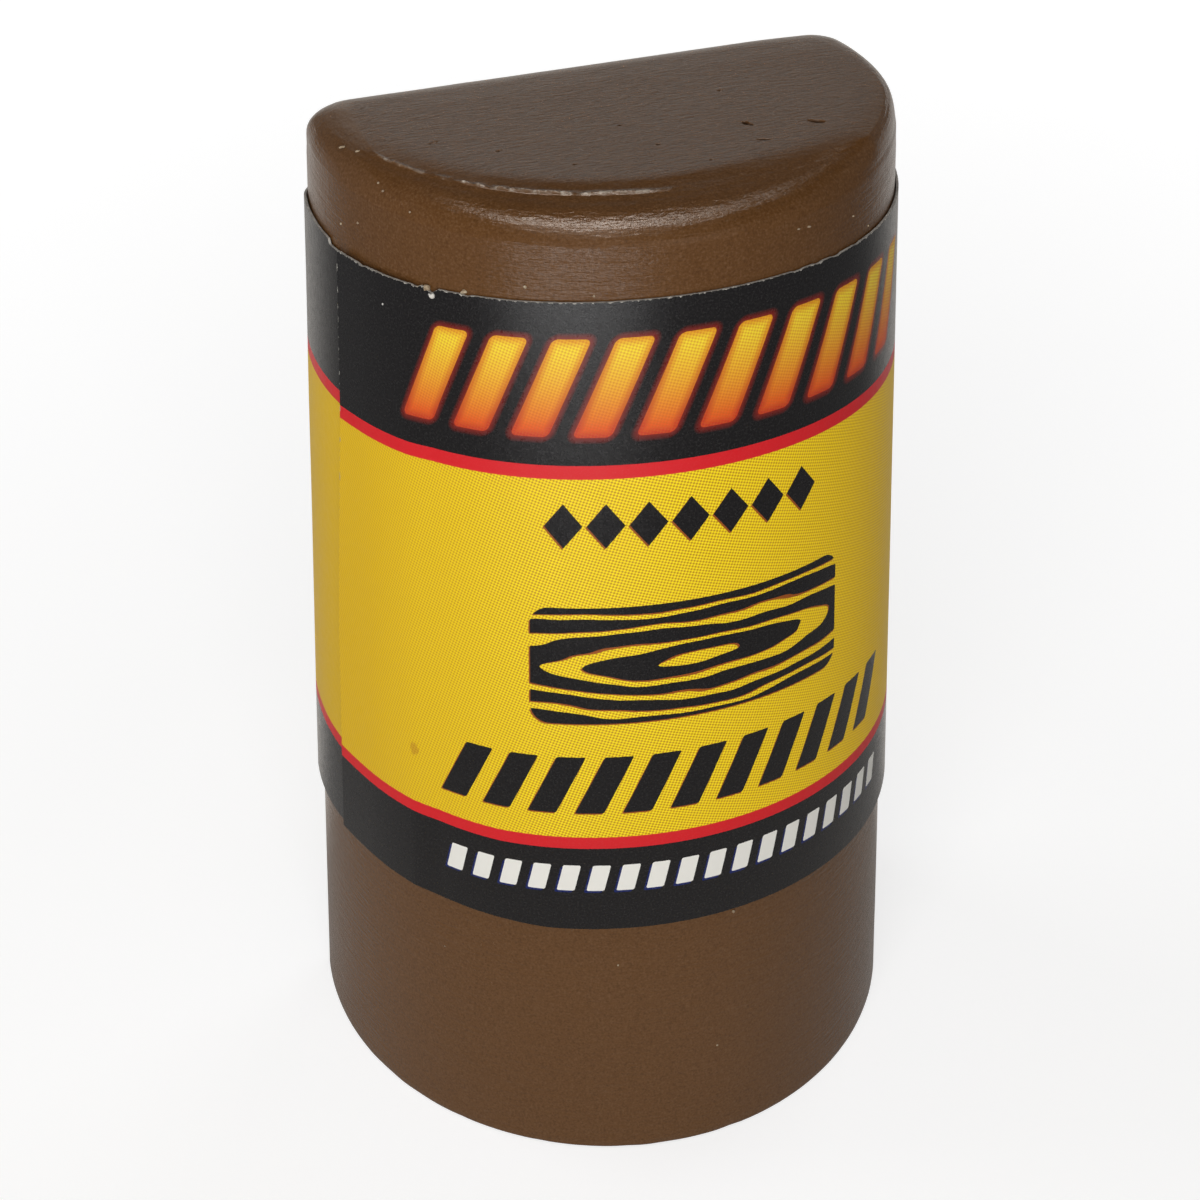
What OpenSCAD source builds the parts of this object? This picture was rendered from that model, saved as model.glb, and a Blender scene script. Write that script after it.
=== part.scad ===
// Half-round stick of soft repair wax with a printed paper sleeve, in millimetres.
// The origin is on the base, at the centre of the front curve. +Z is up the stick,
// the round front faces -Y and the flat back faces +Y.

/* [Wax block] */
// Height of the stick, from the poured base to the top face
block_h = 58; // [50:0.5:70]
// Width across the round front at the base
base_w = 34.2; // [30:0.2:40]
// Width across the round front at the top, before the rim is rounded
top_w = 29.5; // [26:0.1:36]
// Depth of the round front at the base, from its widest line to its foremost point
base_depth = 17.7; // [15:0.1:21]
// Depth of the round front at the top
top_depth = 15.2; // [13:0.1:19]
// How far the flat back lies behind the widest line, at the base
base_back = 4.6; // [2:0.1:7]
// How far the flat back lies behind the widest line, at the top
top_back = 4; // [2:0.1:6]
// Rounding of the two long edges beside the flat back
corner_r = 1.7; // [0.3:0.1:2.5]
// How far the rounded rim reaches in from the wall, at the top face
rim_in = 2.9; // [0.5:0.1:3.5]
// How far the rounded rim reaches down the wall
rim_down = 1.8; // [0.5:0.1:4]
// Worn edge round the poured base
base_edge_r = 0.2; // [0.1:0.1:1]

/* [Paper sleeve] */
// Thickness of the printed paper
paper_t = 0.12; // [0.08:0.02:0.3]
// Height of the sleeve's lower edge above the base, at the front
sleeve_z = 16.7; // [5:0.1:30]
// Length of the sleeve up the stick
sleeve_h = 37.2; // [20:0.1:45]
// Gap between the wax and the paper at the sleeve's upper edge
upper_gap = 0.05; // [0.03:0.01:0.4]
// Gap between the wax and the paper at the sleeve's lower edge, which stands off a little
lower_gap = 0.22; // [0.03:0.01:0.6]
// Drop of the sleeve's edges from the front to the sides, as a straight strip takes on a taper
edge_drop = 1; // [0:0.1:2]
// Length of paper that laps under the front flap
lap_w = 6; // [3:0.5:12]
// Glue film between the flap and the lapped end
glue_t = 0.03; // [0.02:0.01:0.1]
// Length over which the flap comes down from the lapped end on to the wax
lap_ramp = 1.5; // [1:0.5:3]
// Place of the flap's free edge, in degrees left of the front centre
seam_deg = 78; // [60:1:85]

/* [Hidden] */

wax_colour = [0.38, 0.27, 0.19];
label_colour = [0.91, 0.76, 0.14];

// Steps along the round front, round a corner, and from the left corner to the lap's hidden end
front_steps = 72;
corner_steps = 6;
tail_steps = 14;
// Rings in the rounded rim and in the worn base edge
rim_steps = 10;
edge_steps = 3;
// Radius that stays on a corner which a rounding has used up
least_r = 0.05;

// Half width, front depth and back of the block at a height z, from its two drafted ends
function between(a, b, z) = a + (b - a) * z / block_h;
function half_w(z) = between(base_w, top_w, z) / 2;
function depth(z) = between(base_depth, top_depth, z);
function back(z) = between(base_back, top_back, z);

// A point of the block's outline is [x, y, nx, ny], where n is the outward normal.
// The front is an ellipse arc, drawn from angle a = -180 at the left over -90 at the front.
function front_point(w, d, a) =
    let (nx = cos(a) / w, ny = sin(a) / d, n = norm([nx, ny]))
    [w * cos(a), d * sin(a), nx / n, ny / n];

// The angle past the widest line at which the front meets a corner of radius r
function meet_angle(b, d, r) = asin((b - r) / (d - r));

// Centre of the right-hand corner that touches the front at angle m
function corner_centre(w, d, r, m) =
    let (p = front_point(w, d, m))
    [p[0] - r * p[2], p[1] - r * p[3]];

// A corner runs from the front's normal to straight back, by u = 0 to 1
function corner_point(w, d, r, m, u) =
    let (
        c = corner_centre(w, d, r, m),
        p = front_point(w, d, m),
        start = atan2(p[3], p[2]),
        a = start + (90 - start) * u
    )
    [c[0] + r * cos(a), c[1] + r * sin(a), cos(a), sin(a)];

function flipped(p) = [-p[0], p[1], -p[2], p[3]];

// Both corners, from the right end of the front to the left end of it
function corners(w, d, r, m) = concat(
    [for (k = [1:corner_steps]) corner_point(w, d, r, m, k / corner_steps)],
    [for (k = [corner_steps:-1:1]) flipped(corner_point(w, d, r, m, k / corner_steps))]
);

// The front from angle a to angle b in n steps
function front(w, d, a, b, n) = [for (k = [0:n]) front_point(w, d, a + (b - a) * k / n)];

// The whole outline, anticlockwise from the front's left end, inset by i all round
function outline(z, i) =
    let (
        w = half_w(z) - i,
        d = depth(z) - i,
        r = max(corner_r - i, least_r),
        m = meet_angle(back(z) - i, d, r)
    )
    concat(front(w, d, -180 - m, m, front_steps), corners(w, d, r, m));

// Heights and insets of the block's rings, from the worn base edge to the rounded rim
function ring_levels() = concat(
    [for (k = [0:edge_steps])
        let (a = 90 * k / edge_steps)
        [base_edge_r * (1 - cos(a)), base_edge_r * (1 - sin(a))]],
    [for (k = [0:rim_steps])
        let (a = 90 * k / rim_steps)
        [block_h - rim_down * (1 - sin(a)), rim_in * (1 - cos(a))]]
);

// Closes a stack of rings with equal numbers of points into one solid
module loft(rings) {
    n = len(rings[0]);
    last = len(rings) - 1;
    sides = [for (j = [0:last - 1], k = [0:n - 1])
        [j * n + k, (j + 1) * n + k, (j + 1) * n + (k + 1) % n, j * n + (k + 1) % n]];
    polyhedron(
        points = [for (ring = rings) each ring],
        faces = concat(
            sides,
            [[for (k = [0:n - 1]) k]],
            [[for (k = [n - 1:-1:0]) last * n + k]]
        )
    );
}

module wax_block() {
    color(wax_colour)
        loft([for (level = ring_levels())
            [for (p = outline(level[0], level[1])) [p[0], p[1], level[0]]]]);
}

// The flap's free edge, and the angles that the lap and its ramp take on the front
seam = -90 - seam_deg;
lap_deg = lap_w / (base_w / 2) * 180 / PI;
ramp_deg = lap_ramp / (base_w / 2) * 180 / PI;

// The paper's run: the outer flap, the front, both corners with the flat back between them,
// and the tail that ends under the flap. One list of points for a height z.
function paper_run(z) =
    let (w = half_w(z), d = depth(z), m = meet_angle(back(z), d, corner_r))
    concat(
        front(w, d, seam, m, front_steps),
        corners(w, d, corner_r, m),
        front(w, d, -180 - m, seam + lap_deg, tail_steps)
    );

// Drop of the paper's edges at each point of the run: nothing at the front, all at the sides
function drops(run) = [for (p = run) p[1] < 0 ? edge_drop * p[2] * p[2] : edge_drop];

// How far the flap rides over the lapped end, at each point k of the run
function rise(k) =
    let (
        m = meet_angle(back(0), depth(0), corner_r),
        past = (m - seam) * k / front_steps - lap_deg
    )
    k > front_steps ? 0 : (paper_t + glue_t) * (1 - min(1, max(0, past / ramp_deg)));

// One edge of one face of the paper: z at the front, gap to the wax, and t through the paper
function paper_edge(z, gap, t) =
    let (flat = drops(paper_run(z)))
    [for (k = [0:len(flat) - 1])
        let (h = z - flat[k], p = paper_run(h)[k], out = gap + rise(k) + t)
        [p[0] + out * p[2], p[1] + out * p[3], h]];

module wrap_label() {
    upper_z = sleeve_z + sleeve_h;
    inner_low = paper_edge(sleeve_z, lower_gap, 0);
    outer_low = paper_edge(sleeve_z, lower_gap, paper_t);
    outer_high = paper_edge(upper_z, upper_gap, paper_t);
    inner_high = paper_edge(upper_z, upper_gap, 0);
    color(label_colour)
        loft([for (k = [0:len(inner_low) - 1])
            [inner_low[k], inner_high[k], outer_high[k], outer_low[k]]]);
}

wax_block();
wrap_label();
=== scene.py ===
"""A half-round stick of soft repair wax in a printed paper sleeve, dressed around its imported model."""

import math
from bisect import bisect_left

import bmesh
import bpy
from mathutils import Matrix, Vector, noise


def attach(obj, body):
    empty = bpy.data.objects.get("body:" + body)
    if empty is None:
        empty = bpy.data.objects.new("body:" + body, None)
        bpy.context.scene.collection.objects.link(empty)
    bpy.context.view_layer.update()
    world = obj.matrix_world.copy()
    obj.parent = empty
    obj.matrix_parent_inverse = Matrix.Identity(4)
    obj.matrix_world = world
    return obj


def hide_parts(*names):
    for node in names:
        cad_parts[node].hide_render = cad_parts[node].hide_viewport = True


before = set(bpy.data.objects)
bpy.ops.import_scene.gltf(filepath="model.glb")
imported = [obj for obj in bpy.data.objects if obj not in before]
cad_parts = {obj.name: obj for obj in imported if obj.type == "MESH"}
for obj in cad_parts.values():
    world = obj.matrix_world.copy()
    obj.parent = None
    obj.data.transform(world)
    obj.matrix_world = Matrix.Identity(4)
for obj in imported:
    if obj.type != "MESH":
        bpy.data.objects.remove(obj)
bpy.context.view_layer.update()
MM = 0.001

# Camera. It looks down on the stick from the front and a little from its left, close enough for
# the stick to narrow towards its foot. The picture is cropped a little off centre.
camera_place = Vector((-38.23, -108.97, 107.83)) * MM
camera_turn, camera_pitch, camera_roll = 0.3104, 0.597, -0.0159


def put_in_scene(name, data):
    """An object that shows a camera, a mesh or a lamp."""
    item = bpy.data.objects.new(name, data)
    bpy.context.scene.collection.objects.link(item)
    return item


camera_data = bpy.data.cameras.new("camera")
camera_data.sensor_width = 36
camera_data.lens = 73.93
camera_data.shift_x, camera_data.shift_y = 0.0461, -0.0390
camera_data.clip_start, camera_data.clip_end = 0.01, 10
camera = put_in_scene("camera", camera_data)
camera.matrix_world = (
    Matrix.Translation(camera_place)
    @ Matrix.Rotation(-camera_turn, 4, "Z")
    @ Matrix.Rotation(math.pi / 2 - camera_pitch, 4, "X")
    @ Matrix.Rotation(camera_roll, 4, "Z")
)
bpy.context.scene.camera = camera

# Wax block. Soft brown wax, cast in an open mould that drafts towards the closed, rounded end,
# and knocked out when it is cold. The mould leaves a crisp lip round the top face, and blisters.
block_height = 58.0
foot_half_width, head_half_width = 17.1, 14.75
foot_depth, head_depth = 17.7, 15.2
foot_back, head_back = 4.6, 4.0
corner_radius, corner_shrink, least_radius = 1.7, 0.35, 0.05
front_columns, corner_columns, back_columns = 168, 8, 64


def section(z):
    """Half width, front depth and flat back of the block at a height, in mm."""
    t = z / block_height
    return (
        foot_half_width + (head_half_width - foot_half_width) * t,
        foot_depth + (head_depth - foot_depth) * t,
        foot_back + (head_back - foot_back) * t,
    )


def front_point(width, depth, angle):
    """A point and its outward normal on the round front, -90 degrees being foremost."""
    across, along = math.cos(angle), math.sin(angle)
    return Vector((width * across, depth * along)), Vector((across / width, along / depth)).normalized()


def corner_point(width, depth, back, radius, share, side):
    """A point and its normal on a long corner, from the round front (0) to the flat back (1)."""
    meet = math.asin((back - radius) / (depth - radius))
    touch, facing = front_point(width, depth, meet)
    start = math.atan2(facing.y, facing.x)
    angle = start + (math.pi / 2 - start) * share
    facing_now = Vector((math.cos(angle), math.sin(angle)))
    place = touch - facing * radius + facing_now * radius
    return Vector((side * place.x, place.y)), Vector((side * facing_now.x, facing_now.y))


def outline(z, inset):
    """The block's outline at a height, drawn in by inset, anticlockwise from the front's left end."""
    width, depth, back = (size - inset for size in section(z))
    radius = max(corner_radius - corner_shrink * inset, least_radius)
    meet = math.asin((back - radius) / (depth - radius))
    sweep = math.pi + 2 * meet
    points = [
        front_point(width, depth, -math.pi - meet + sweep * k / front_columns)[0]
        for k in range(front_columns + 1)
    ]
    points += [
        corner_point(width, depth, back, radius, k / corner_columns, 1)[0]
        for k in range(1, corner_columns + 1)
    ]
    right, left = points[-1].copy(), Vector((-points[-1].x, points[-1].y))
    points += [right.lerp(left, k / back_columns) for k in range(1, back_columns)]
    points += [
        corner_point(width, depth, back, radius, k / corner_columns, -1)[0]
        for k in range(corner_columns, 0, -1)
    ]
    return points


def stack_rings(rings):
    """A closed solid from rings of points: a circle, extruded ring by ring."""
    solid = bmesh.new()
    column = solid.verts.layers.int.new("column")
    solid.verts.layers.float.new("worn")
    made = bmesh.ops.create_circle(solid, segments=len(rings[0]), radius=1, cap_ends=True)
    for k, vert in enumerate(made["verts"]):
        vert[column] = k
    loop = solid.edges[:]
    ring_verts = made["verts"]
    for level, points in enumerate(rings):
        if level:
            grown = bmesh.ops.extrude_edge_only(solid, edges=loop)["geom"]
            ring_verts = [g for g in grown if isinstance(g, bmesh.types.BMVert)]
            fresh = set(ring_verts)
            loop = [g for g in grown if isinstance(g, bmesh.types.BMEdge) and set(g.verts) <= fresh]
        for vert in ring_verts:
            vert.co = points[vert[column]]
    bmesh.ops.contextual_create(solid, geom=loop)
    bmesh.ops.recalc_face_normals(solid, faces=solid.faces)
    return solid


# The rim rounds over 2.9 mm of the face and 1.8 mm of the wall. On the round front the face
# bends down a little before its lip, over bend_width, and the slope runs out in rim_bend.
rim_in, rim_down = 2.9, 1.8
lip_slope, bend_width, full_bend, rim_bend = 0.20, 1.3, 0.8, 1.0
front_end, front_fade = 4.5, 10
base_profile = [(0.2, 0.0), (0.09, 0.03), (0.03, 0.09), (0.0, 0.2)]
face_centre = Vector((0, -5.0))
# Rings of the mesh: across the foot, up the wall, over the rim, close by the lip, and on the face
foot_rings, wall_rings, rim_rings, join_rings, bend_rings, top_rings = 14, 120, 22, 8, 7, 34
rim_turn, join_inset, bend_start = math.radians(62), 1.54, 0.3
lip_steps = [
    0.50, 0.44, 0.39, 0.35, 0.31, 0.27, 0.23, 0.19, 0.15, 0.11, 0.07, 0.03, -0.02, -0.08, -0.15, -0.3,
]


def held(share):
    """A number, held between 0 and 1."""
    return min(1, max(0, share))


def smooth(share):
    """0 to 1 without a corner at either end."""
    share = held(share)
    return share * share * (3 - 2 * share)


def frontal(y):
    """1 on the round front, fading to 0 at the flat back."""
    return smooth((front_end - y) / front_fade)


def raised(points, height):
    """A ring of points, lifted to a height."""
    return [Vector((place.x, place.y, height)) for place in points]


def rounding(inset):
    """Share of the rim's drop that is left at an inset: 1 at the wall, 0 at the face."""
    return 1 - math.sqrt(max(0, 1 - max(0, 1 - inset / rim_in) ** 2))


def rim_height(inset, y):
    """Height of the rim, or of the face beyond it, where it has come in from the wall by inset."""
    bend = max(0, bend_width - max(0, inset - rim_in))
    fall = lip_slope * (bend ** 2 / (2 * full_bend) if bend < full_bend else bend - full_bend / 2)
    outward = min(rim_bend, max(0, rim_in - inset))
    fall += lip_slope * (outward - outward ** 2 / (2 * rim_bend))
    whole_fall = lip_slope * (bend_width - full_bend / 2 + rim_bend / 2)
    left = rounding(inset)
    return block_height - rim_down * left - frontal(y) * (fall - whole_fall * left)


rings = []
for k in range(1, foot_rings + 1):
    share = k / (foot_rings + 1)
    rings.append(raised([face_centre.lerp(p, share) for p in outline(0, base_profile[0][0])], 0.0))
rings += [raised(outline(rise, inset), rise) for inset, rise in base_profile]
wall_foot, wall_head = base_profile[-1][1], block_height - rim_down
for k in range(1, wall_rings):
    z = wall_foot + (wall_head - wall_foot) * k / wall_rings
    rings.append(raised(outline(z, 0), z))
insets = [rim_in * (1 - math.cos(rim_turn * k / rim_rings)) for k in range(rim_rings + 1)]
join_width = rim_in - lip_steps[0] - join_inset
insets += [join_inset + join_width * k / join_rings for k in range(1, join_rings)]
insets += [rim_in - short for short in lip_steps]
insets += [rim_in + bend_start + (bend_width - bend_start) * k / bend_rings for k in range(1, bend_rings + 1)]
for inset in insets:
    level_outline = outline(block_height - rim_down * rounding(inset), inset)
    rings.append([Vector((place.x, place.y, rim_height(inset, place.y))) for place in level_outline])
last_ring = outline(block_height, insets[-1])
for k in range(top_rings, 0, -1):
    share = k / (top_rings + 1)
    rings.append(raised([face_centre.lerp(p, share) for p in last_ring], block_height))
wax = stack_rings(rings)

# Blisters in the top face, as (place, half length, half width, depth, turn in degrees), in mm
blisters = [
    ((4.93, -7.28), 0.09, 0.15, 0.60, 10),
    ((5.10, -7.53), 0.05, 0.07, 0.25, 0),
    ((7.40, -7.42), 0.13, 0.10, 0.80, -10),
    ((4.89, -9.05), 0.20, 0.05, 0.16, -6),
    ((0.11, -8.11), 0.08, 0.06, 0.12, 0),
    ((-0.86, -5.47), 0.09, 0.05, 0.10, 0),
    ((-4.32, -8.85), 0.08, 0.05, 0.12, 0),
    ((-7.16, -6.19), 0.10, 0.05, 0.10, 0),
    ((5.20, -3.26), 0.11, 0.05, 0.10, 0),
    ((-9.40, -4.10), 0.12, 0.05, 0.08, 10),
    ((1.90, -10.60), 0.09, 0.05, 0.08, 0),
]
blister_reach, blister_cuts, blister_brim = 0.75, 4, 1.6
# Painted shade in a blister: how fast it darkens towards its middle, and the depth at which it is full
darkening, full_dark_depth = 1.6, 0.3
face_foot = block_height - 0.4
worn = wax.verts.layers.float["worn"]
near = [
    e for e in wax.edges
    if all(v.co.z > face_foot for v in e.verts)
    and any((v.co.xy - Vector(p)).length < blister_reach for v in e.verts for p, *_ in blisters)
]
bmesh.ops.subdivide_edges(wax, edges=near, cuts=blister_cuts, use_grid_fill=True)
for vert in wax.verts:
    here = vert.co.copy()
    if here.z > face_foot:
        for place, half_long, half_wide, deep, turn in blisters:
            away = Matrix.Rotation(-math.radians(turn), 2) @ (here.xy - Vector(place))
            far = math.hypot(away.x / half_long, away.y / half_wide)
            if far < blister_brim:
                hollow = (1 - min(1, (far / blister_brim) ** 2)) ** 1.5
                vert.co.z -= deep * hollow
                # Shade is painted into the blister, deepest at its middle
                vert[worn] = -min(1, darkening * hollow) * min(1, deep / full_dark_depth)
wax.normal_update()

# The mould is uneven, with long shallow waves, short ripples and dents under the rim. Each is a
# noise with its scale per mm, its place in the noise, and its depth in mm.
wave_scale, wave_place, wave_depth = 0.11, Vector((3, 7, 1)), 0.02
ripple_scale, ripple_squash, ripple_depth = 0.9, 0.35, 0.01
dent_scale, dent_squash, dent_place, dent_depth = 0.55, 1.6, Vector((2, 8, 4)), 0.03
dent_low, dent_high = block_height - 2.6, block_height - 0.3
# The lip lies furthest in at its front, and runs closer to the wall to the left and to the right
lip_front = math.radians(-88)
left_lip, lip_to_left, left_swing = 1.3, 1.75, 78
front_lip, lip_to_right, right_swing = 3.05, 2.45, math.radians(43)
lip_pull = 3.2
corner_slump, slumped_corner, slump_reach = 0.12, Vector((12.6, 3.4)), 4
# A ragged burr of wax from the mould's joint stands along the left part of the lip, with a highlight painted
# along it
burr_height, burr_half_width, burr_inset = 0.13, 0.13, 2.70
burr_right, burr_left, right_fade, left_fade = math.radians(-91), math.radians(-164), 0.3, 0.15
burr_low, burr_low_share, low_fade = math.radians(-148), 0.65, 0.25
burr_usual, long_rag, short_rag, rag_place = 0.45, 0.9, 2.2, Vector((11, 2, 5))
long_scale, short_scale, pale_scale = 0.7, 3.4, 4.3
least_burr, most_burr = 0.08, 1.1
# The poured foot is chipped round its edge and a little hollow in its middle
chip_rise, chip_scale, chip_place, chip_depth, chip_least = 0.25, 0.6, Vector((5, 1, 9)), 0.12, 0.15
hollow_radius, hollow_depth = 9, 0.10


def uneven(place):
    """Smooth noise between 0 and 1."""
    return 0.5 + 0.5 * noise.noise(place)


for vert in wax.verts:
    here = vert.co.copy()
    inward = -Vector(vert.normal)
    deep = wave_depth * uneven(here * wave_scale + wave_place)
    deep += ripple_depth * uneven(Vector((here.x, here.y, here.z * ripple_squash)) * ripple_scale)
    if dent_low < here.z < dent_high:
        deep += dent_depth * uneven(Vector((here.x, here.y, here.z * dent_squash)) * dent_scale + dent_place)
    lip_shift = Vector((0, 0))
    if here.z > block_height - rim_down:
        half_width, depth, _ = section(block_height)
        turn = math.atan2(here.y / depth, here.x / half_width)
        edge = Vector((half_width * math.cos(turn), depth * math.sin(turn))).length
        inset = edge - here.xy.length
        if turn > math.pi / 2:
            turn -= math.tau
        past_front = turn - lip_front
        if past_front < 0:
            lip_inset = left_lip + lip_to_left * max(0, math.cos(past_front * 90 / left_swing))
        else:
            lip_inset = front_lip - lip_to_right * min(1, (past_front / right_swing) ** 2)
        share = max(0, inset / rim_in) if inset < rim_in else 1 - smooth((inset - rim_in) / lip_pull)
        lip_shift = here.xy.normalized() * (rim_in - lip_inset) * share * frontal(here.y)
        vert.co.z -= corner_slump * smooth(1 - (here.xy - slumped_corner).length / slump_reach)
        if here.z > block_height - 0.5:
            ragged = burr_usual + long_rag * noise.noise(here * long_scale + rag_place)
            ragged += short_rag * noise.noise(here * short_scale)
            ragged *= burr_low_share + (1 - burr_low_share) * held((turn - burr_low) / low_fade)
            there = held((burr_right - turn) / right_fade) * held((turn - burr_left) / left_fade)
            beside = math.exp(-((inset - burr_inset) / burr_half_width) ** 2)
            burr = min(most_burr, max(least_burr, ragged)) * there * beside
            deep = min(deep, 0.03) - burr_height * burr
            # A highlight is painted along the burr, broken up by noise
            vert[worn] += held(1.7 * burr - 0.1) * (0.8 + 0.8 * noise.noise(here * pale_scale))
    if here.z < chip_rise:
        chips = noise.noise(here * chip_scale + chip_place)
        deep += chip_depth * max(0, chips - chip_least) * (1 - here.z / chip_rise)
    if here.z < 0.01:
        from_middle = (here.xy - face_centre).length
        if from_middle < hollow_radius:
            inward = Vector((0, 0, 1))
            deep = hollow_depth * (1 - from_middle / hollow_radius)
        else:
            inward = Vector((inward.x, inward.y, 0.0))
    vert.co += inward * deep + lip_shift.to_3d()

# Crumbs of pale wax and paper that stick to it, as (place, radius, stretch along x), in mm
crumbs = [
    ((-13.92, -2.33, 57.54), 0.06, 2.2), ((-13.37, -3.27, 57.64), 0.05, 2.4),
    ((-13.13, -5.99, 57.17), 0.05, 1.0), ((-13.07, -6.59, 57.02), 0.04, 1.5),
    ((-12.28, -8.40, 56.64), 0.05, 1.0), ((-14.50, -3.56, 54.12), 0.05, 1.0),
    ((-14.01, -5.09, 54.81), 0.05, 1.0), ((8.34, -12.67, 54.96), 0.04, 1.8),
    ((4.75, -14.46, 55.73), 0.035, 2.2), ((5.35, -14.25, 55.65), 0.045, 2.2),
    ((-12.92, -10.74, 12.65), 0.05, 1.0), ((-4.71, -16.38, 13.73), 0.06, 1.0),
    ((0.89, -17.36, 6.73), 0.06, 1.0), ((1.75, -16.95, 16.2), 0.07, 1.0),
    ((-8.14, -12.85, 54.2), 0.08, 1.1), ((-5.30, -14.35, 53.98), 0.05, 1.0),
    ((-11.92, -9.49, 53.15), 0.14, 1.3), ((-12.15, -9.13, 53.06), 0.10, 1.8),
    ((-10.50, -10.92, 53.42), 0.11, 1.5), ((9.63, -11.73, 53.77), 0.05, 1.0),
]
crumb_roughness, crumb_scale = 0.6, 9
for place, radius, stretch in crumbs:
    shape = Matrix.Translation(place) @ Matrix.Diagonal((radius * stretch, radius, radius, 1))
    made = bmesh.ops.create_icosphere(wax, subdivisions=2, radius=1, matrix=shape)
    for vert in made["verts"]:
        vert.co += (vert.co - Vector(place)) * crumb_roughness * noise.noise(vert.co * crumb_scale)
        for face in vert.link_faces:
            face.material_index = 1
bmesh.ops.scale(wax, vec=(MM, MM, MM), verts=wax.verts)
for face in wax.faces:
    face.smooth = True
wax_mesh = bpy.data.meshes.new("wax_block_cast")
wax.to_mesh(wax_mesh)
wax.free()
wax_piece = put_in_scene("wax_block_cast", wax_mesh)


def new_paint(name):
    """A material, its node tree and its main shader."""
    paint = bpy.data.materials.new(name)
    paint.use_nodes = True
    return paint, paint.node_tree, paint.node_tree.nodes["Principled BSDF"]


def new_node(tree, kind, **inputs):
    """A shader node with its inputs set by number or linked from another node's output."""
    node = tree.nodes.new("ShaderNode" + kind)
    for name, value in inputs.items():
        socket = node.inputs[int(name[1:])] if name[0] == "_" else node.inputs[name.replace("_", " ")]
        if isinstance(value, bpy.types.NodeSocket):
            tree.links.new(value, socket)
        else:
            socket.default_value = value
    return node


def reckon(tree, operation, *terms):
    """One sum in a shader: a Math node with its terms as numbers or sockets."""
    node = tree.nodes.new("ShaderNodeMath")
    node.operation = operation
    for socket, term in zip(node.inputs, terms):
        if isinstance(term, bpy.types.NodeSocket):
            tree.links.new(term, socket)
        else:
            socket.default_value = term
    return node.outputs[0]


def product(tree, first, *others):
    """All the terms, multiplied."""
    for other in others:
        first = reckon(tree, "MULTIPLY", first, other)
    return first


def blend(tree, share, low, high):
    """A colour between low and high."""
    node = tree.nodes.new("ShaderNodeMix")
    node.data_type = "RGBA"
    for socket, term in zip((node.inputs[0], node.inputs[6], node.inputs[7]), (share, low, high)):
        if isinstance(term, bpy.types.NodeSocket):
            tree.links.new(term, socket)
        else:
            socket.default_value = term if isinstance(term, (int, float)) else (*term, 1)
    return node.outputs[2]


def grain(tree, places, stretch, scale, detail=3, rough=0.5):
    """Noise from places that are stretched first, 0 to 1."""
    stretched = new_node(tree, "Mapping", Vector=places, Scale=stretch).outputs[0]
    texture = new_node(tree, "TexNoise", Vector=stretched, Scale=scale, Detail=detail, Roughness=rough)
    return texture.outputs[0]


def ramp(tree, value, low, high, to_low=0.0, to_high=1.0):
    """value from low..high to to_low..to_high, held at its ends."""
    node = new_node(tree, "MapRange", Value=value, From_Min=low, From_Max=high, To_Min=to_low, To_Max=to_high)
    return node.outputs[0]


# The wall is warm and smooth, and the face is rubbed matt along the stick's width. Both have
# fine pale and dark specks. The stored value is above 0 where a highlight is painted along the burr
# and below 0 where shade is painted in the blisters.
even = (1, 1, 1)
wall_brown, wall_light, wall_low = (0.100, 0.042, 0.012), (0.110, 0.048, 0.015), (0.120, 0.054, 0.018)
wall_lined = (0.122, 0.056, 0.020)
face_dark, face_light = (0.073, 0.033, 0.0138), (0.106, 0.048, 0.019)
speck_light, speck_dark = (0.17, 0.09, 0.044), (0.050, 0.020, 0.006)
# A painted highlight for the burr, and painted shade for the blisters
burr_highlight, blister_shade = (0.44, 0.38, 0.31), (0.007, 0.003, 0.002)
wax_paint, tree, shader = new_paint("soft_brown_wax")
places = new_node(tree, "TexCoord").outputs["Object"]
height_up = new_node(tree, "SeparateXYZ", Vector=places).outputs[2]
facing_up = new_node(tree, "SeparateXYZ", Vector=new_node(tree, "NewGeometry").outputs["Normal"]).outputs[2]
on_face = ramp(tree, facing_up, 0.982, 0.999)
mottle = grain(tree, places, (1, 1, 0.5), 140)
mould_lines = grain(tree, places, (1, 1, 0.04), 900)
rubbed = grain(tree, places, (0.24, 1, 1), 5400, 4, 0.65)
specks = grain(tree, places, even, 8000, 2, 0.6)
fine = grain(tree, places, even, 4200, 3, 0.6)
dragged = grain(tree, places, (0.10, 0.10, 1), 5200, 3, 0.6)
wall_tone = blend(tree, ramp(tree, mottle, 0.3, 0.7), wall_brown, wall_light)
wall_tone = blend(tree, ramp(tree, height_up, 0.012, 0.045, 1, 0), wall_tone, wall_low)
wall_tone = blend(tree, ramp(tree, mould_lines, 0.35, 0.75, 0, 0.3), wall_tone, wall_lined)
face_tone = blend(tree, ramp(tree, rubbed, 0.40, 0.58), face_dark, face_light)
tone = blend(tree, on_face, wall_tone, face_tone)
tone = blend(tree, ramp(tree, specks, 0.52, 0.72, 0, 0.5), tone, speck_light)
tone = blend(tree, ramp(tree, specks, 0.48, 0.28, 0, 0.5), tone, speck_dark)
painted_light_attribute = new_node(tree, "Attribute")
painted_light_attribute.attribute_name = "worn"
broken = ramp(tree, grain(tree, places, even, 3000, 2, 0.6), 0.44, 0.58, 0.2, 1)
# Painted highlight along the burr, broken by a fine grain
tone = blend(tree, product(tree, ramp(tree, painted_light_attribute.outputs["Fac"], 0, 1), broken), tone, burr_highlight)
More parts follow.
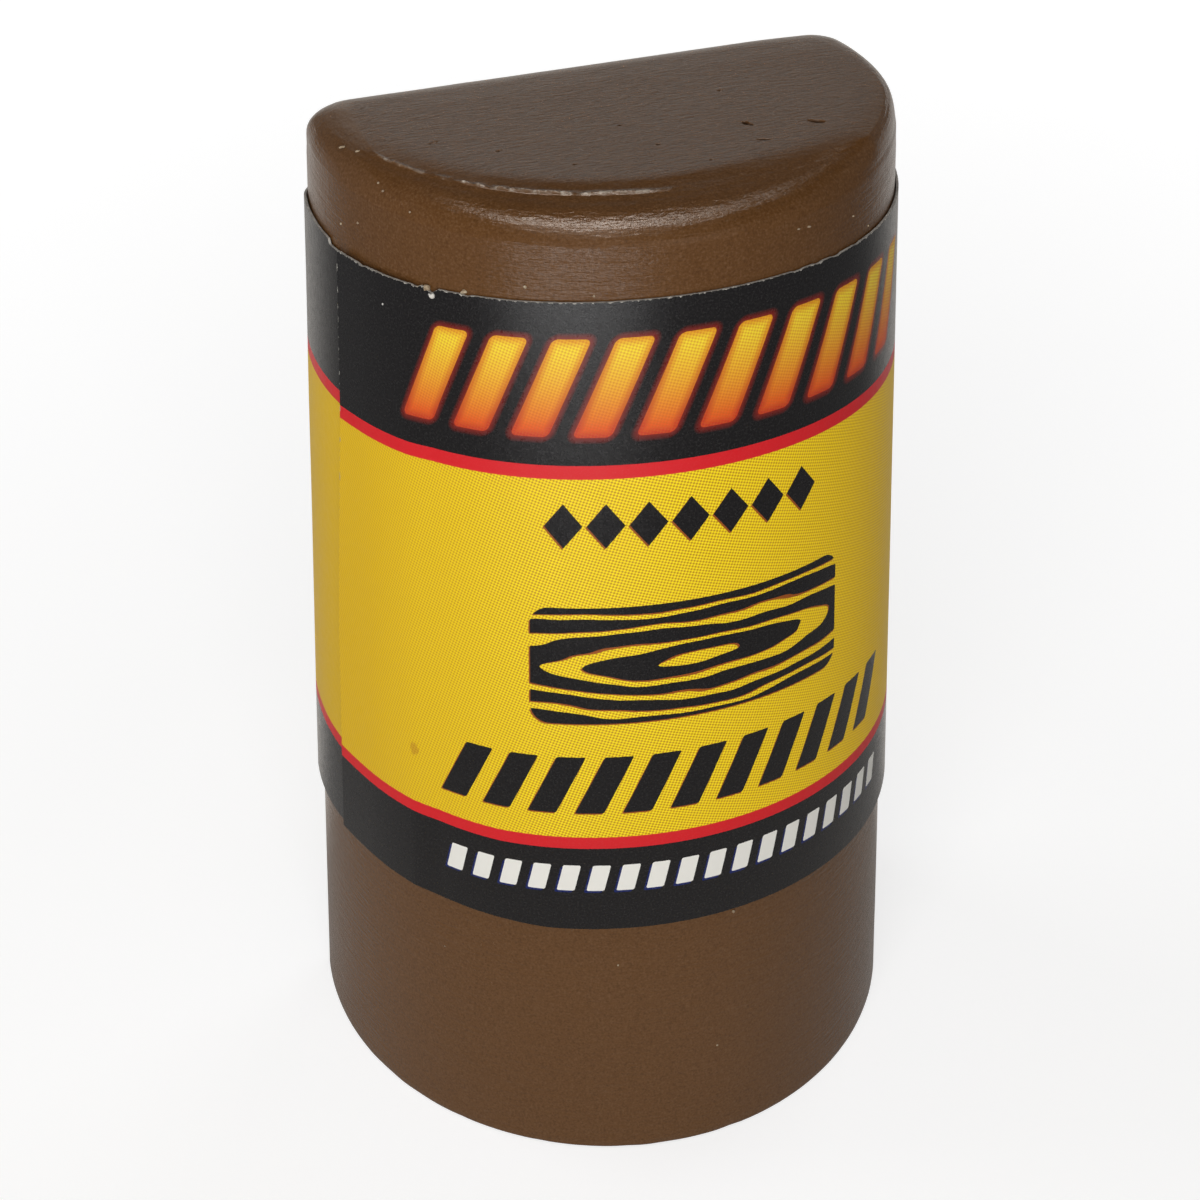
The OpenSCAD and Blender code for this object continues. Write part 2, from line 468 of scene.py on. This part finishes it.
# Painted shade in the blisters
tone = blend(tree, ramp(tree, painted_light_attribute.outputs["Fac"], 0, -0.45), tone, blister_shade)
tree.links.new(tone, shader.inputs["Base Color"])
shine = reckon(
    tree, "ADD", ramp(tree, mottle, 0.3, 0.7, 0.17, 0.23), ramp(tree, fine, 0.3, 0.7, -0.03, 0.05)
)
tree.links.new(shine, shader.inputs["Roughness"])
shader.inputs["IOR"].default_value = 1.45
shader.inputs["Specular IOR Level"].default_value = 0.42
height = product(tree, rubbed, ramp(tree, on_face, 0, 1, 0.04, 0.9))
height = reckon(tree, "MULTIPLY_ADD", mould_lines, 0.2, height)
height = reckon(tree, "MULTIPLY_ADD", dragged, ramp(tree, on_face, 0, 1, 0.5, 0), height)
height = reckon(tree, "MULTIPLY_ADD", fine, 0.22, height)
bump = new_node(tree, "Bump", Strength=0.9, Distance=0.0001, Height=height)
tree.links.new(bump.outputs[0], shader.inputs["Normal"])
wax_mesh.materials.append(wax_paint)

crumb_dark, crumb_light = (0.22, 0.15, 0.09), (0.52, 0.43, 0.30)
crumb_paint, tree, shader = new_paint("pale_crumbs")
places = new_node(tree, "TexCoord").outputs["Object"]
crumbling = grain(tree, places, even, 6000, 3, 0.6)
crumb_tone = blend(tree, ramp(tree, crumbling, 0.35, 0.65), crumb_dark, crumb_light)
tree.links.new(crumb_tone, shader.inputs["Base Color"])
tree.links.new(ramp(tree, crumbling, 0.3, 0.7, 0.5, 0.8), shader.inputs["Roughness"])
wax_mesh.materials.append(crumb_paint)
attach(wax_piece, "root")
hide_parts("wax_block")

# Paper sleeve. One strip of coated paper, printed in four colours, wrapped once round the wax and
# glued where its end laps under the front flap. It is cut straight, so its edges dip at the sides.
paper_thick = 0.12
sleeve_foot, sleeve_length = 16.7, 37.2
upper_gap, lower_gap = 0.05, 0.22
edge_dip = 1.0
lap_width, lap_ramp, glue_thick = 6.0, 1.5, 0.03
flap_spring, flap_free = 0.12, 2.5
billow_depth, billow_place = 0.02, 4.0
seam_angle = math.radians(-168)
paper_columns, paper_rows = 440, 40
lap_angle = lap_width / foot_half_width


def wrap_point(z, turn):
    """A point and normal of the paper's line round the wax: turn 0 to 1 is the front, 1 to 2 the
    right corner, 2 to 3 the flat back, 3 to 4 the left corner, and 4 to 5 the lapped end."""
    width, depth, back = section(z)
    meet = math.asin((back - corner_radius) / (depth - corner_radius))
    if turn <= 1:
        return front_point(width, depth, seam_angle + (meet - seam_angle) * turn)
    if turn <= 2:
        return corner_point(width, depth, back, corner_radius, turn - 1, 1)
    if turn <= 3:
        right = corner_point(width, depth, back, corner_radius, 1, 1)[0]
        return Vector((right.x * (5 - 2 * turn), right.y)), Vector((0, 1))
    if turn <= 4:
        return corner_point(width, depth, back, corner_radius, 4 - turn, -1)
    start = -math.pi - meet
    return front_point(width, depth, start + (seam_angle + lap_angle - start) * (turn - 4))


steps_a_turn = 200
turns = [k / steps_a_turn for k in range(5 * steps_a_turn + 1)]
mid_height = sleeve_foot + sleeve_length / 2
run = [0.0]
for before, after in zip(turns, turns[1:]):
    step = (wrap_point(mid_height, after)[0] - wrap_point(mid_height, before)[0]).length
    run.append(run[-1] + step)
strip_length = run[-1]


def paper_point(along, up):
    """The outer face of the paper at a place of the flat strip, both in mm."""
    k = min(max(bisect_left(run, along), 1), len(run) - 1)
    turn = turns[k - 1] + (turns[k] - turns[k - 1]) * (along - run[k - 1]) / max(run[k] - run[k - 1], 1e-6)
    flat, normal = wrap_point(mid_height, turn)
    dip = edge_dip * (normal.x ** 2 if flat.y < 0 else 1)
    z = sleeve_foot + up - dip
    flat, normal = wrap_point(z, turn)
    lift = (paper_thick + glue_thick) * (1 - held((along - lap_width) / lap_ramp))
    out = lower_gap + (upper_gap - lower_gap) * up / sleeve_length + paper_thick + lift
    out += flap_spring * max(0, 1 - along / flap_free) ** 2
    out += billow_depth * noise.noise(Vector((along * 0.13, up * 0.11, billow_place)))
    flat = flat + normal * out
    return Vector((flat.x, flat.y, z))


strip = bmesh.new()
bmesh.ops.create_grid(strip, x_segments=paper_columns, y_segments=paper_rows, size=0.5)
printing = strip.loops.layers.uv.new("print")
for face in strip.faces:
    face.smooth = True
    for corner in face.loops:
        corner[printing].uv = (corner.vert.co.x + 0.5, corner.vert.co.y + 0.5)
# The flap's edge leans, from lean_start up over lean_height. The upper edge is a little ragged,
# and has a step at the lap. The lower edge is trimmed higher at both ends of the strip.
lap_step, rag_depth, least_trim = 0.25, 0.012, 0.04
flap_lean, lean_start, lean_height, lean_reach = 0.62, 15, 14, 8
start_trim, start_trim_reach = 1.05, 13.5
end_trim, end_trim_start, end_trim_fade = 0.95, 16, 10
trim_rise, foot_rag = 2.5, 0.02
# Nicks in the cut edge as (along, half width, depth), in mm from the flap's free edge
nicks = [
    (2.8, 0.25, 0.08), (6.6, 0.2, 0.10), (7.5, 0.3, 0.26), (9.5, 0.2, 0.10),
    (26.6, 0.4, 0.05), (28.0, 0.3, 0.06), (29.4, 0.4, 0.08), (31.2, 0.3, 0.05),
]
for vert in strip.verts:
    along = (vert.co.x + 0.5) * strip_length
    up = (vert.co.y + 0.5) * sleeve_length
    along += flap_lean * held((up - lean_start) / lean_height) * max(0, 1 - along / lean_reach)
    if up > sleeve_length - 0.5:
        cut = rag_depth * noise.noise(Vector((along * 0.7, 0, 2)))
        cut += rag_depth * noise.noise(Vector((along * 3.1, 0, 6)))
        for place, half_wide, deep in nicks:
            cut += deep * max(0, 1 - ((along - place) / half_wide) ** 2)
        up -= cut + least_trim + (lap_step if along > strip_length - lap_width - 0.5 else 0)
    trim = foot_rag + foot_rag * noise.noise(Vector((along * 1.1, 3, 2)))
    trim += start_trim * max(0, 1 - along / start_trim_reach)
    trim += end_trim * held((along - strip_length + end_trim_start) / end_trim_fade)
    up += trim * max(0, 1 - up / trim_rise)
    vert.co = paper_point(along, up) * MM
bmesh.ops.recalc_face_normals(strip, faces=strip.faces)
outer_faces = set(strip.faces)
bmesh.ops.solidify(strip, geom=strip.faces[:], thickness=paper_thick * MM)
for face in strip.faces:
    face.smooth = True
    face.material_index = 0 if face in outer_faces else 1
for edge in strip.edges:
    edge.smooth = edge.calc_face_angle(0) < math.radians(40)
sleeve_mesh = bpy.data.meshes.new("paper_sleeve")
strip.to_mesh(sleeve_mesh)
strip.free()
sleeve = put_in_scene("paper_sleeve", sleeve_mesh)

# The print is drawn in mm on the flat strip. The strip went on a little askew, so the print
# rises towards the lapped end, and at the flap's lower corner.
printed, tree, shader = new_paint("printed_paper")
printed_at = new_node(tree, "UVMap")
printed_at.uv_map = "print"
flat_mm = new_node(
    tree, "Mapping", Vector=printed_at.outputs[0], Scale=(strip_length, sleeve_length, 1)
).outputs[0]
parts = new_node(tree, "SeparateXYZ", Vector=flat_mm)
along, up = parts.outputs[0], parts.outputs[1]
skew_start, skew_end, skew_rise = 42.0, 72.0, 0.55
flap_rise, flap_skew = 0.6, 11
rising = product(tree, ramp(tree, along, 0, flap_skew, flap_rise, 0), ramp(tree, up, 5, 28, 1, 0))
up = reckon(tree, "SUBTRACT", up, ramp(tree, along, skew_start, skew_end, 0, skew_rise))
up = reckon(tree, "SUBTRACT", up, rising)


def within(value, middle, half):
    """1 where value lies within half of middle."""
    return reckon(tree, "COMPARE", value, middle, half)


def squared(value):
    """A value times itself."""
    return reckon(tree, "POWER", value, 2)


def outside(aside, above, half_wide, half_high, rounding):
    """Distance from a place to a rounded box, negative within it."""
    over_aside = reckon(tree, "SUBTRACT", aside, half_wide - rounding)
    over_above = reckon(tree, "SUBTRACT", above, half_high - rounding)
    far_aside = squared(reckon(tree, "MAXIMUM", over_aside, 0))
    far_above = squared(reckon(tree, "MAXIMUM", over_above, 0))
    far = reckon(tree, "SQRT", reckon(tree, "ADD", far_aside, far_above))
    deep = reckon(tree, "MINIMUM", reckon(tree, "MAXIMUM", over_aside, over_above), 0)
    return reckon(tree, "SUBTRACT", reckon(tree, "ADD", far, deep), rounding)


def bar_row(along, up, middle, height, start, pitch, width, count, lean, rounding):
    """Distance to a row of slanted bars, negative within one."""
    above = reckon(tree, "SUBTRACT", up, middle)
    placed = reckon(tree, "SUBTRACT", reckon(tree, "MULTIPLY_ADD", above, -lean, along), start)
    nearest = reckon(tree, "PINGPONG", placed, pitch / 2)
    bars = outside(nearest, reckon(tree, "ABSOLUTE", above), width / 2, height / 2, rounding)
    beyond = reckon(tree, "SUBTRACT", 1, within(placed, (count - 1) * pitch / 2, count * pitch / 2))
    return reckon(tree, "ADD", bars, reckon(tree, "MULTIPLY", beyond, 9))


def lozenge_row(along, up, middle, height, start, pitch, width, count):
    """1 within a row of lozenges."""
    placed = reckon(tree, "SUBTRACT", along, start)
    aside = reckon(tree, "DIVIDE", reckon(tree, "PINGPONG", placed, pitch / 2), width / 2)
    above = reckon(tree, "ABSOLUTE", reckon(tree, "SUBTRACT", up, middle))
    above = reckon(tree, "DIVIDE", above, height / 2)
    inside = within(placed, (count - 1) * pitch / 2, count * pitch / 2)
    return product(tree, reckon(tree, "LESS_THAN", reckon(tree, "ADD", aside, above), 1), inside)


def past(distance, half):
    """How far a distance goes past a plank's half side, less 1 mm for its round corner."""
    return reckon(tree, "MAXIMUM", reckon(tree, "SUBTRACT", reckon(tree, "ABSOLUTE", distance), half - 1), 0)


def plank(along, up, middle_along, middle_up, length, height):
    """A plank with the long eye of its grain in the middle, cut out of a dark block."""
    eye_stretch, ring_width, gap_share = 6.2, 0.95, 0.36
    aside = reckon(tree, "SUBTRACT", along, middle_along)
    above = reckon(tree, "SUBTRACT", up, middle_up)
    wobble = grain(tree, flat_mm, (0.12, 0.5, 1), 1.0, 2)
    bend = reckon(tree, "MULTIPLY_ADD", wobble, 1.6, reckon(tree, "SUBTRACT", above, 0.8))
    long_way = squared(reckon(tree, "DIVIDE", aside, eye_stretch))
    reach = reckon(tree, "SQRT", reckon(tree, "ADD", long_way, squared(bend)))
    ring = reckon(tree, "FRACT", reckon(tree, "DIVIDE", reach, ring_width))
    line = reckon(tree, "GREATER_THAN", ring, gap_share)
    corner = reckon(tree, "ADD", squared(past(aside, length / 2)), squared(past(above, height / 2)))
    return product(tree, line, reckon(tree, "LESS_THAN", corner, 1))


# Rows of bars as (middle height, height, first bar, pitch, width, count, lean, rounding), in mm
flame_bars = (32.7, 5.2, 7.6, 3.1, 1.9, 10, 0.42, 0.3)
dark_bars = (9.6, 3.6, 9.2, 2.4, 1.45, 11, 0.42, 0.1)
pale_bars = (3.5, 1.7, 8.6, 1.5, 0.9, 18, 0.2, 0.1)
lozenges = (25.2, 2.5, 14.4, 2.1, 1.9, 7)
plank_place, plank_size = (21.2, 17.0), (17.0, 7.0)
stripe_half, lower_stripe, upper_stripe = 0.375, 5.85, 28.2


def dark_print(along, up):
    """1 wherever the black ink prints on the yellow field."""
    small = lozenge_row(along, up, *lozenges)
    block = plank(along, up, *plank_place, *plank_size)
    bars = reckon(tree, "LESS_THAN", bar_row(along, up, *dark_bars), 0)
    return reckon(tree, "MAXIMUM", reckon(tree, "MAXIMUM", small, block), bars)


# The yellow field is a screen of brown dots on yellow, with painted shade that deepens it where it turns away
# from view and towards both ends of the strip. The black plate lies 0.07 mm off the others and leaves a halo.
screen_turn, screen_pitch = math.radians(18.4), 0.16
black_slip, blue_slip = 0.07, 0.13
light_yellow, dot_brown, shaded_yellow = (0.95, 0.74, 0.006), (0.50, 0.23, 0.003), (0.98, 0.56, 0.003)
flap_shaded_yellow, lapped_shaded_yellow = (0.62, 0.36, 0.003), (0.62, 0.38, 0.006)
black, red = (0.0065, 0.0055, 0.006), (0.64, 0.008, 0.014)
white, blue = (0.80, 0.78, 0.72), (0.004, 0.012, 0.10)
halo_brown, glow_red = (0.30, 0.07, 0.004), (0.22, 0.012, 0.006)
flame_low, flame_high, flame_dots = (0.72, 0.10, 0.008), (0.88, 0.68, 0.03), (0.56, 0.10, 0.008)
flame_edge_low, flame_edge_high = (0.50, 0.03, 0.008), (0.74, 0.36, 0.01)
turned = new_node(
    tree, "Mapping", Vector=flat_mm, Rotation=(0, 0, screen_turn), Scale=(1 / screen_pitch, 1 / screen_pitch, 1)
)
screen_parts = new_node(tree, "SeparateXYZ", Vector=turned.outputs[0])
waves = [
    reckon(tree, "COSINE", reckon(tree, "MULTIPLY", screen_parts.outputs[k], math.tau)) for k in (0, 1)
]
dots = ramp(tree, reckon(tree, "ADD", *waves), -0.9, 1.3)
glancing = new_node(tree, "LayerWeight", Blend=0.5).outputs["Facing"]
yellow = blend(tree, dots, light_yellow, dot_brown)
# Painted shade where the yellow turns away from view, and towards both ends of the strip
yellow = blend(tree, ramp(tree, glancing, 0.2, 0.7, 0, 0.5), yellow, shaded_yellow)
yellow = blend(tree, ramp(tree, along, 3, 14, 0.55, 0), yellow, flap_shaded_yellow)
yellow = blend(tree, ramp(tree, along, 76, 82, 0, 0.6), yellow, lapped_shaded_yellow)
halo = dark_print(reckon(tree, "ADD", along, black_slip), reckon(tree, "SUBTRACT", up, -black_slip))
field = blend(tree, halo, yellow, halo_brown)
field = blend(tree, dark_print(along, up), field, black)
in_field = within(up, (lower_stripe + upper_stripe) / 2, (upper_stripe - lower_stripe) / 2)
paint = blend(tree, in_field, black, field)
flame = bar_row(along, up, *flame_bars)
paint = blend(tree, ramp(tree, flame, 0.35, -0.05), paint, glow_red)
flame_tone = blend(tree, ramp(tree, up, 30.6, 34.6), flame_low, flame_high)
flame_edge = blend(tree, ramp(tree, up, 30.6, 35.0), flame_edge_low, flame_edge_high)
flame_tone = blend(tree, ramp(tree, flame, -0.45, -0.1), flame_tone, flame_edge)
flame_tone = blend(tree, reckon(tree, "MULTIPLY", dots, 0.55), flame_tone, flame_dots)
paint = blend(tree, reckon(tree, "LESS_THAN", flame, 0), paint, flame_tone)
slipped_along, slipped_up = (reckon(tree, "ADD", place, blue_slip) for place in (along, up))
slipped_bars = bar_row(slipped_along, slipped_up, *pale_bars)
paint = blend(tree, reckon(tree, "LESS_THAN", slipped_bars, 0), paint, blue)
paint = blend(tree, reckon(tree, "LESS_THAN", bar_row(along, up, *pale_bars), 0), paint, white)
stripes = [within(up, stripe, stripe_half) for stripe in (lower_stripe, upper_stripe)]
paint = blend(tree, reckon(tree, "MAXIMUM", *stripes), paint, red)

# Handling has left dust, scuffs along the cut edges that show the paper, and a few small spots
dust_grey, bare_edge = (0.6, 0.58, 0.55), (0.38, 0.36, 0.32)
torn_pale, fleck_pale, stain_brown = (0.60, 0.57, 0.52), (0.62, 0.60, 0.56), (0.40, 0.12, 0.01)
fibres = grain(tree, flat_mm, (1, 0.6, 1), 3.0, 4, 0.6)
dust = grain(tree, flat_mm, even, 9.0, 3, 0.7)
scuff = grain(tree, flat_mm, (1, 0.5, 1), 3.5, 3, 0.6)
paint = blend(tree, ramp(tree, dust, 0.50, 0.80, 0, 0.05), paint, dust_grey)
flap_edge = reckon(tree, "LESS_THAN", along, ramp(tree, scuff, 0.52, 0.72, 0, 0.09))
flap_edge = product(tree, flap_edge, reckon(tree, "GREATER_THAN", up, 22))
top_edge = ramp(tree, scuff, 0.5, 0.7, sleeve_length, sleeve_length - 0.10)
top_edge = reckon(tree, "GREATER_THAN", up, top_edge)
paint = blend(tree, reckon(tree, "MAXIMUM", flap_edge, top_edge), paint, bare_edge)


def spot(along_at, up_at, half_long, half_high, ragged):
    """1 within a ragged oval spot."""
    aside = reckon(tree, "DIVIDE", reckon(tree, "SUBTRACT", along, along_at), half_long)
    above = reckon(tree, "DIVIDE", reckon(tree, "SUBTRACT", up, up_at), half_high)
    reach = reckon(tree, "SQRT", reckon(tree, "ADD", squared(aside), squared(above)))
    reach = reckon(tree, "MULTIPLY_ADD", scuff, ragged, reach)
    return ramp(tree, reach, 1 + 0.5 * ragged, 0.6 + 0.5 * ragged)


paint = blend(tree, spot(7.5, 36.95, 0.20, 0.20, 2.0), paint, torn_pale)
paint = blend(tree, spot(4.15, 35.6, 0.07, 0.07, 0), paint, fleck_pale)
stain = spot(6.1, 9.7, 0.30, 0.55, 1.6)
paint = blend(tree, reckon(tree, "MULTIPLY", stain, 0.45), paint, stain_brown)
tree.links.new(paint, shader.inputs["Base Color"])
ink_shine = ramp(tree, new_node(tree, "RGBToBW", Color=paint).outputs[0], 0, 0.2, 0.0, 0.25)
shine = reckon(tree, "ADD", ramp(tree, fibres, 0.3, 0.7, 0.2, 0.3), ink_shine)
tree.links.new(shine, shader.inputs["Roughness"])
shader.inputs["Specular IOR Level"].default_value = 0.48
bump = new_node(tree, "Bump", Strength=0.3, Distance=0.00002, Height=reckon(tree, "ADD", fibres, dust))
tree.links.new(bump.outputs[0], shader.inputs["Normal"])
sleeve_mesh.materials.append(printed)

pulp_dark, pulp_light = (0.24, 0.22, 0.20), (0.46, 0.44, 0.40)
raw_paper, tree, shader = new_paint("raw_paper")
places = new_node(tree, "TexCoord").outputs["Object"]
pulp = grain(tree, places, even, 3500, 3, 0.6)
tree.links.new(blend(tree, ramp(tree, pulp, 0.3, 0.7), pulp_dark, pulp_light), shader.inputs["Base Color"])
tree.links.new(ramp(tree, pulp, 0.3, 0.7, 0.75, 0.9), shader.inputs["Roughness"])
shader.inputs["Specular IOR Level"].default_value = 0.2
sleeve_mesh.materials.append(raw_paper)
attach(sleeve, "root")
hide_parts("wrap_label")

# Floor. A pale studio floor without an edge. The camera sees it almost white under its shadow, and
# the stick mirrors it as dim, but pale behind the stick and close round its foot.
floor_radius, floor_drop = 3.0, 0.00002
studio_white = (1, 1, 1)
floor_grey, mirrored_grey, floor_glow = (0.5, 0.5, 0.5), (0.3, 0.3, 0.3), (1, 0.94, 0.87)
back_x, back_y = 0.30, 0.954
disc = bmesh.new()
bmesh.ops.create_circle(disc, cap_ends=True, segments=96, radius=floor_radius)
bmesh.ops.translate(disc, verts=disc.verts, vec=(0, 0, -floor_drop))
floor_mesh = bpy.data.meshes.new("floor")
disc.to_mesh(floor_mesh)
disc.free()
floor = put_in_scene("floor", floor_mesh)


def ray_kinds(tree):
    """1 for a ray that the camera sends, and 1 for one that a surface mirrors or lets through."""
    rays = new_node(tree, "LightPath")
    mirrored = reckon(tree, "MAXIMUM", rays.outputs["Is Glossy Ray"], rays.outputs["Is Transmission Ray"])
    return rays.outputs["Is Camera Ray"], mirrored


floor_paint, tree, shader = new_paint("pale_floor")
tree.nodes.remove(shader)
seen, reflected = ray_kinds(tree)
place = new_node(tree, "TexCoord").outputs["Object"]
away = new_node(tree, "VectorMath", _0=place)
away.operation = "LENGTH"
distance = away.outputs["Value"]
parts = new_node(tree, "SeparateXYZ", Vector=place)
behind = reckon(tree, "MULTIPLY", parts.outputs[1], back_y)
behind = reckon(tree, "DIVIDE", reckon(tree, "MULTIPLY_ADD", parts.outputs[0], back_x, behind), distance)
behind = reckon(tree, "ADD", behind, ramp(tree, distance, 0.022, 0.045, 0.07, 0))
glow = product(tree, ramp(tree, behind, 0.42, 0.78, 0.01, 0.48), ramp(tree, distance, 0.04, 0.07, 1.5, 1))
glow = reckon(tree, "ADD", glow, ramp(tree, distance, 0.03, 0.07, 0.17, 0))
lifted = product(tree, seen, ramp(tree, distance, 0.04, 0.30, 0.66, 0.95))
lift = new_node(
    tree, "Emission", Color=blend(tree, reflected, studio_white, floor_glow),
    Strength=reckon(tree, "ADD", lifted, product(tree, reflected, glow)),
)
matt = new_node(tree, "BsdfDiffuse", Color=blend(tree, reflected, floor_grey, mirrored_grey))
joined = new_node(tree, "AddShader", _0=matt.outputs[0], _1=lift.outputs[0])
tree.links.new(joined.outputs[0], tree.nodes["Material Output"].inputs["Surface"])
floor_mesh.materials.append(floor_paint)

# Studio. The camera sees white all round. Surfaces mirror a warm white board low down behind the
# stick and a strip light overhead, a little bent, that draws the bright line round the rim.
room_light, room_warm = 0.09, (1, 0.95, 0.88)
view_right, view_near = 0.9438, -0.3305
strip_bend, strip_middle, strip_lean = 1.5, 0.07, -1.06
world = bpy.data.worlds.new("studio")
bpy.context.scene.world = world
world.use_nodes = True
tree = world.node_tree
seen, reflected = ray_kinds(tree)
sky = new_node(tree, "SeparateXYZ", Vector=new_node(tree, "TexCoord").outputs["Generated"])
sky_x, sky_y, sky_z = sky.outputs
board = product(
    tree,
    ramp(tree, sky_z, 0.54, 0.68, 0.75, 0.08),
    ramp(tree, sky_x, 0.22, 0.42, 1, 0.7),
    ramp(tree, sky_x, -0.30, 0.10, 0.2, 1),
    ramp(tree, sky_x, 0.44, 0.62, 1, 0.35),
)
across = reckon(tree, "MULTIPLY_ADD", sky_x, view_right, reckon(tree, "MULTIPLY", sky_y, view_near))
bent = squared(reckon(tree, "ADD", across, strip_middle))
nearer = reckon(tree, "MULTIPLY_ADD", bent, strip_bend, reckon(tree, "MULTIPLY", sky_y, strip_lean))
strip_light = product(
    tree,
    ramp(tree, nearer, -0.13, -0.08),
    ramp(tree, nearer, -0.03, 0.10, 15, 2.4),
    ramp(tree, nearer, 0.10, 0.75, 1, 0),
    ramp(tree, across, 0.10, 0.42, 1, 0),
    ramp(tree, across, -0.47, -0.27),
    ramp(tree, reckon(tree, "ABSOLUTE", across), 0.03, 0.15, 1.4, 1),
    reckon(tree, "GREATER_THAN", sky_z, 0.5),
)
mirrored = product(tree, reflected, reckon(tree, "ADD", board, strip_light))
hidden = reckon(tree, "SUBTRACT", 1, reckon(tree, "MAXIMUM", seen, reflected))
strength = reckon(tree, "MULTIPLY_ADD", hidden, room_light, reckon(tree, "ADD", mirrored, seen))
background = tree.nodes["Background"]
tree.links.new(blend(tree, reflected, studio_white, room_warm), background.inputs["Color"])
tree.links.new(strength, background.inputs["Strength"])

# Lamps. A large soft one beside the camera, a small one above, and two behind for the edges, all
# kept out of reflections. Angles are in degrees from the front and up, and sizes in metres.
aim = Vector((0, -0.003, 0.032))


def soft_lamp(name, azimuth, elevation, distance, wide, tall, level):
    """An area lamp that lights a surface which faces it to the given share of its own colour."""
    data = bpy.data.lights.new(name, "AREA")
    data.shape, data.size, data.size_y = "RECTANGLE", wide, tall
    data.energy = level * (math.pi * distance) ** 2
    lamp = put_in_scene(name, data)
    turn, rise = math.radians(azimuth), math.radians(elevation)
    out = Vector((math.sin(turn) * math.cos(rise), -math.cos(turn) * math.cos(rise), math.sin(rise)))
    lamp.location = aim + out * distance
    lamp.rotation_euler = out.to_track_quat("Z", "Y").to_euler()
    lamp.visible_glossy = False
    return lamp


soft_lamp("lamp_key", -24, 18, 0.6, 0.50, 0.50, 0.87)
soft_lamp("lamp_above", -16, 76, 0.5, 0.20, 0.12, 0.12)
soft_lamp("lamp_rear_left", -125, 15, 0.6, 0.40, 0.40, 0.30)
soft_lamp("lamp_rear_right", 125, 15, 0.6, 0.40, 0.40, 0.24)
# One lies low in front, shines up at the head, and is mirrored as the soft glow under the rim
low = soft_lamp("lamp_low", -30, -20, 0.20, 0.20, 0.12, 0.66)
low.data.shape = "ELLIPSE"
low.location = (-0.10, -0.17, 0.002)
low.rotation_euler = (math.pi, 0, math.radians(-30))
low.visible_glossy = True

bpy.context.scene.view_settings.view_transform = "Standard"
